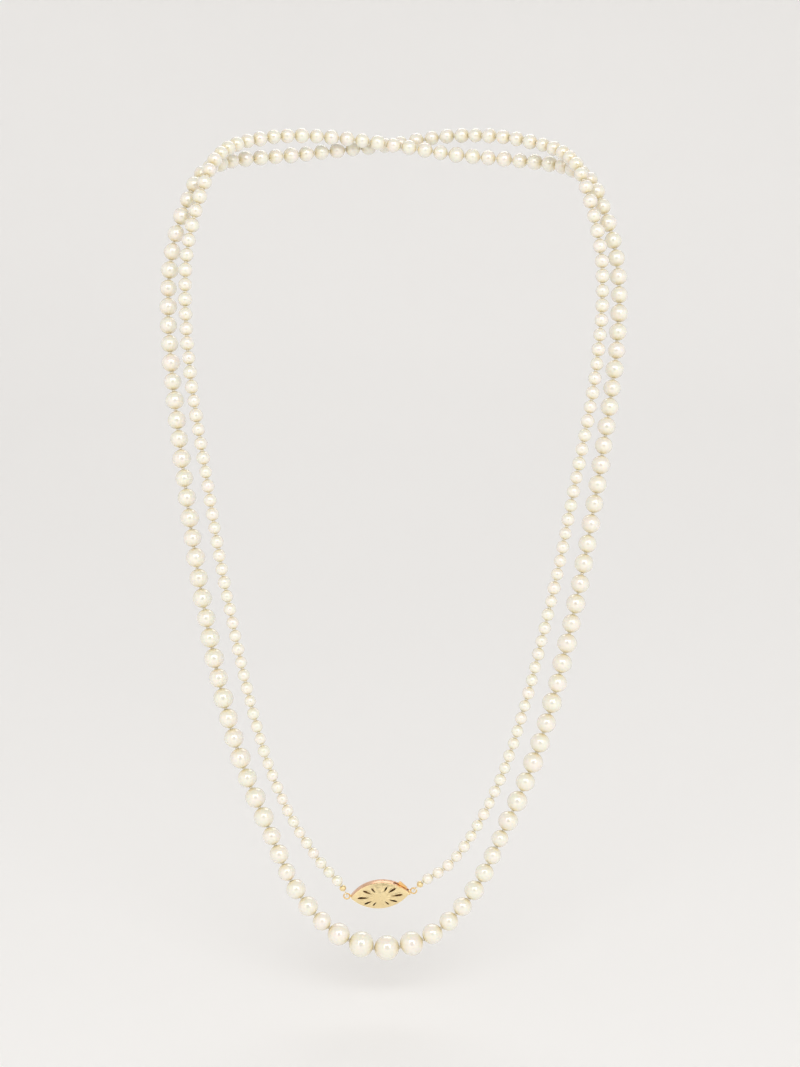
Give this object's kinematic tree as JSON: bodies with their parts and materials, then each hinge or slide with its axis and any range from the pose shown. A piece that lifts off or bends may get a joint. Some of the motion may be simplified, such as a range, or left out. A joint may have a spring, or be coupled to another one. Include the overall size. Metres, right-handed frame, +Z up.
{
  "type": "pearl necklace",
  "caption": "Graduated pearl strand worn doubled round a neck, the largest pearls in the deeper drape and a gold marquise fishhook clasp in the shorter one.",
  "frame": {"origin": "middle of the neck, at the height where the wraps rest on it", "axes": "+X to the right of someone facing the wearer, +Y from front to back through the neck, +Z up"},
  "size_m": [0.1053, 0.0883, 0.176],
  "materials": {
    "pearl": "glossy cream nacre with a pink overtone",
    "gold": "polished yellow gold with bright-cut engraving",
    "silk": "fine twisted silk with knots"
  },
  "bodies": {
    "neck_wraps": {"over_wrap_run_1": "pearl", "over_wrap_run_2": "pearl", "over_wrap_run_3": "pearl", "over_wrap_run_4": "pearl", "over_wrap_run_5": "pearl", "under_wrap_run_1": "pearl", "under_wrap_run_2": "pearl", "under_wrap_run_3": "pearl", "under_wrap_run_4": "pearl", "under_wrap_run_5": "pearl"},
    "outer_drape_upper": {"outer_left_run_3": "pearl", "outer_left_run_4": "pearl", "outer_left_run_5": "pearl", "outer_right_run_3": "pearl", "outer_right_run_4": "pearl", "outer_right_run_5": "pearl"},
    "outer_drape_lower": {"outer_left_run_1": "pearl", "outer_left_run_2": "pearl", "outer_right_run_1": "pearl", "outer_right_run_2": "pearl"},
    "outer_drape_bottom": {"centre_silk": "silk"},
    "inner_drape_upper": {"inner_left_run_5": "pearl", "inner_left_run_6": "pearl", "inner_right_run_5": "pearl", "inner_right_run_6": "pearl"},
    "inner_drape_lower": {"inner_left_run_1": "pearl", "inner_left_run_2": "pearl", "inner_left_run_3": "pearl", "inner_left_run_4": "pearl", "inner_right_run_2": "pearl", "inner_right_run_3": "pearl", "inner_right_run_4": "pearl", "clasp_case": "gold", "clasp_front_filigree": "gold", "clasp_eye_ring": "gold", "silk_loop_case_end": "silk", "end_bead_case_end": "gold"},
    "clasp_hook": {"clasp_hook_shank": "gold", "clasp_hook_ring": "gold", "silk_loop_hook_end": "silk", "end_bead_hook_end": "gold", "inner_right_run_1": "pearl"},
    "clasp_spring": {"clasp_spring_leg": "gold"},
    "pearl_01": {"centre_pearl_01": "pearl"},
    "pearl_02": {"centre_pearl_02": "pearl"},
    "pearl_03": {"centre_pearl_03": "pearl"},
    "pearl_04": {"centre_pearl_04": "pearl"},
    "pearl_05": {"centre_pearl_05": "pearl"},
    "pearl_06": {"centre_pearl_06": "pearl"},
    "pearl_07": {"centre_pearl_07": "pearl"},
    "pearl_08": {"centre_pearl_08": "pearl"},
    "pearl_09": {"centre_pearl_09": "pearl"},
    "pearl_10": {"centre_pearl_10": "pearl"},
    "pearl_11": {"centre_pearl_11": "pearl"},
    "pearl_12": {"centre_pearl_12": "pearl"},
    "pearl_13": {"centre_pearl_13": "pearl"},
    "pearl_14": {"centre_pearl_14": "pearl"},
    "pearl_15": {"centre_pearl_15": "pearl"},
    "pearl_16": {"centre_pearl_16": "pearl"},
    "pearl_17": {"centre_pearl_17": "pearl"}
  },
  "joints": [
    {"name": "outer_upper_swing", "type": "hinge", "parent": "neck_wraps", "child": "outer_drape_upper", "pos_m": [0, 0.0102, -0.0162], "axis": [-1, 0, 0], "range_deg": [0, 30]},
    {"name": "outer_lower_swing", "type": "hinge", "parent": "outer_drape_upper", "child": "outer_drape_lower", "pos_m": [0, -0.0165, -0.0894], "axis": [-1, 0, 0], "range_deg": [0, 30]},
    {"name": "outer_bottom_swing", "type": "hinge", "parent": "outer_drape_lower", "child": "outer_drape_bottom", "pos_m": [0, -0.0311, -0.1404], "axis": [-1, 0, 0], "range_deg": [0, 15]},
    {"name": "inner_upper_swing", "type": "hinge", "parent": "neck_wraps", "child": "inner_drape_upper", "pos_m": [0, 0.0069, -0.0168], "axis": [-1, 0, 0], "range_deg": [0, 35]},
    {"name": "inner_lower_swing", "type": "hinge", "parent": "inner_drape_upper", "child": "inner_drape_lower", "pos_m": [0, -0.0147, -0.068], "axis": [-1, 0, 0], "range_deg": [0, 35]},
    {"name": "clasp_hook_slide", "type": "slide", "parent": "inner_drape_lower", "child": "clasp_hook", "axis": [0.9945, 0, 0.1045], "range_m": [0, 0.009], "deforming": ["inner_right_run_2", "inner_right_run_3", "inner_right_run_4"]},
    {"name": "clasp_tab_press", "type": "hinge", "parent": "clasp_hook", "child": "clasp_spring", "pos_m": [-0.00517, -0.03855, -0.15264], "axis": [0, 1, 0], "range_deg": [0, 4], "stiffness_Nm_per_rad": 0.002},
    {"name": "pearl_01_turn", "type": "hinge", "parent": "outer_drape_bottom", "child": "pearl_01", "pos_m": [0.0255, -0.03163, -0.14217], "axis": [-0.3944, -0.2625, -0.8807], "continuous": true},
    {"name": "pearl_02_turn", "type": "hinge", "parent": "outer_drape_bottom", "child": "pearl_02", "pos_m": [0.0239, -0.03269, -0.14577], "axis": [-0.3928, -0.2558, -0.8833], "continuous": true},
    {"name": "pearl_03_turn", "type": "hinge", "parent": "outer_drape_bottom", "child": "pearl_03", "pos_m": [0.02214, -0.03378, -0.14951], "axis": [-0.4302, -0.2546, -0.8661], "continuous": true},
    {"name": "pearl_04_turn", "type": "hinge", "parent": "outer_drape_bottom", "child": "pearl_04", "pos_m": [0.01997, -0.03493, -0.15328], "axis": [-0.5297, -0.2586, -0.8078], "continuous": true},
    {"name": "pearl_05_turn", "type": "hinge", "parent": "outer_drape_bottom", "child": "pearl_05", "pos_m": [0.01735, -0.03609, -0.15675], "axis": [-0.6354, -0.2552, -0.7288], "continuous": true},
    {"name": "pearl_06_turn", "type": "hinge", "parent": "outer_drape_bottom", "child": "pearl_06", "pos_m": [0.01435, -0.03715, -0.1598], "axis": [-0.722, -0.2258, -0.654], "continuous": true},
    {"name": "pearl_07_turn", "type": "hinge", "parent": "outer_drape_bottom", "child": "pearl_07", "pos_m": [0.01077, -0.03807, -0.1625], "axis": [-0.8336, -0.1738, -0.5243], "continuous": true},
    {"name": "pearl_08_turn", "type": "hinge", "parent": "outer_drape_bottom", "child": "pearl_08", "pos_m": [0.00615, -0.03878, -0.16462], "axis": [-0.9442, -0.1075, -0.3114], "continuous": true},
    {"name": "pearl_09_turn", "type": "hinge", "parent": "outer_drape_bottom", "child": "pearl_09", "pos_m": [0.00062, -0.03911, -0.16557], "axis": [-0.9994, -0.0117, -0.0316], "continuous": true},
    {"name": "pearl_10_turn", "type": "hinge", "parent": "outer_drape_bottom", "child": "pearl_10", "pos_m": [-0.0051, -0.03888, -0.16491], "axis": [-0.9613, 0.0914, 0.2598], "continuous": true},
    {"name": "pearl_11_turn", "type": "hinge", "parent": "outer_drape_bottom", "child": "pearl_11", "pos_m": [-0.01011, -0.03819, -0.16287], "axis": [-0.8527, 0.1643, 0.4958], "continuous": true},
    {"name": "pearl_12_turn", "type": "hinge", "parent": "outer_drape_bottom", "child": "pearl_12", "pos_m": [-0.0139, -0.03729, -0.1602], "axis": [-0.7348, 0.2197, 0.6417], "continuous": true},
    {"name": "pearl_13_turn", "type": "hinge", "parent": "outer_drape_bottom", "child": "pearl_13", "pos_m": [-0.017, -0.03622, -0.15712], "axis": [-0.6466, 0.2531, 0.7196], "continuous": true},
    {"name": "pearl_14_turn", "type": "hinge", "parent": "outer_drape_bottom", "child": "pearl_14", "pos_m": [-0.01977, -0.03503, -0.15359], "axis": [-0.5395, 0.2589, 0.8012], "continuous": true},
    {"name": "pearl_15_turn", "type": "hinge", "parent": "outer_drape_bottom", "child": "pearl_15", "pos_m": [-0.02191, -0.03391, -0.14996], "axis": [-0.4381, 0.2547, 0.8621], "continuous": true},
    {"name": "pearl_16_turn", "type": "hinge", "parent": "outer_drape_bottom", "child": "pearl_16", "pos_m": [-0.02371, -0.03281, -0.1462], "axis": [-0.3952, 0.2554, 0.8824], "continuous": true},
    {"name": "pearl_17_turn", "type": "hinge", "parent": "outer_drape_bottom", "child": "pearl_17", "pos_m": [-0.02545, -0.03167, -0.1423], "axis": [-0.3939, 0.2621, 0.881], "continuous": true}
  ]
}
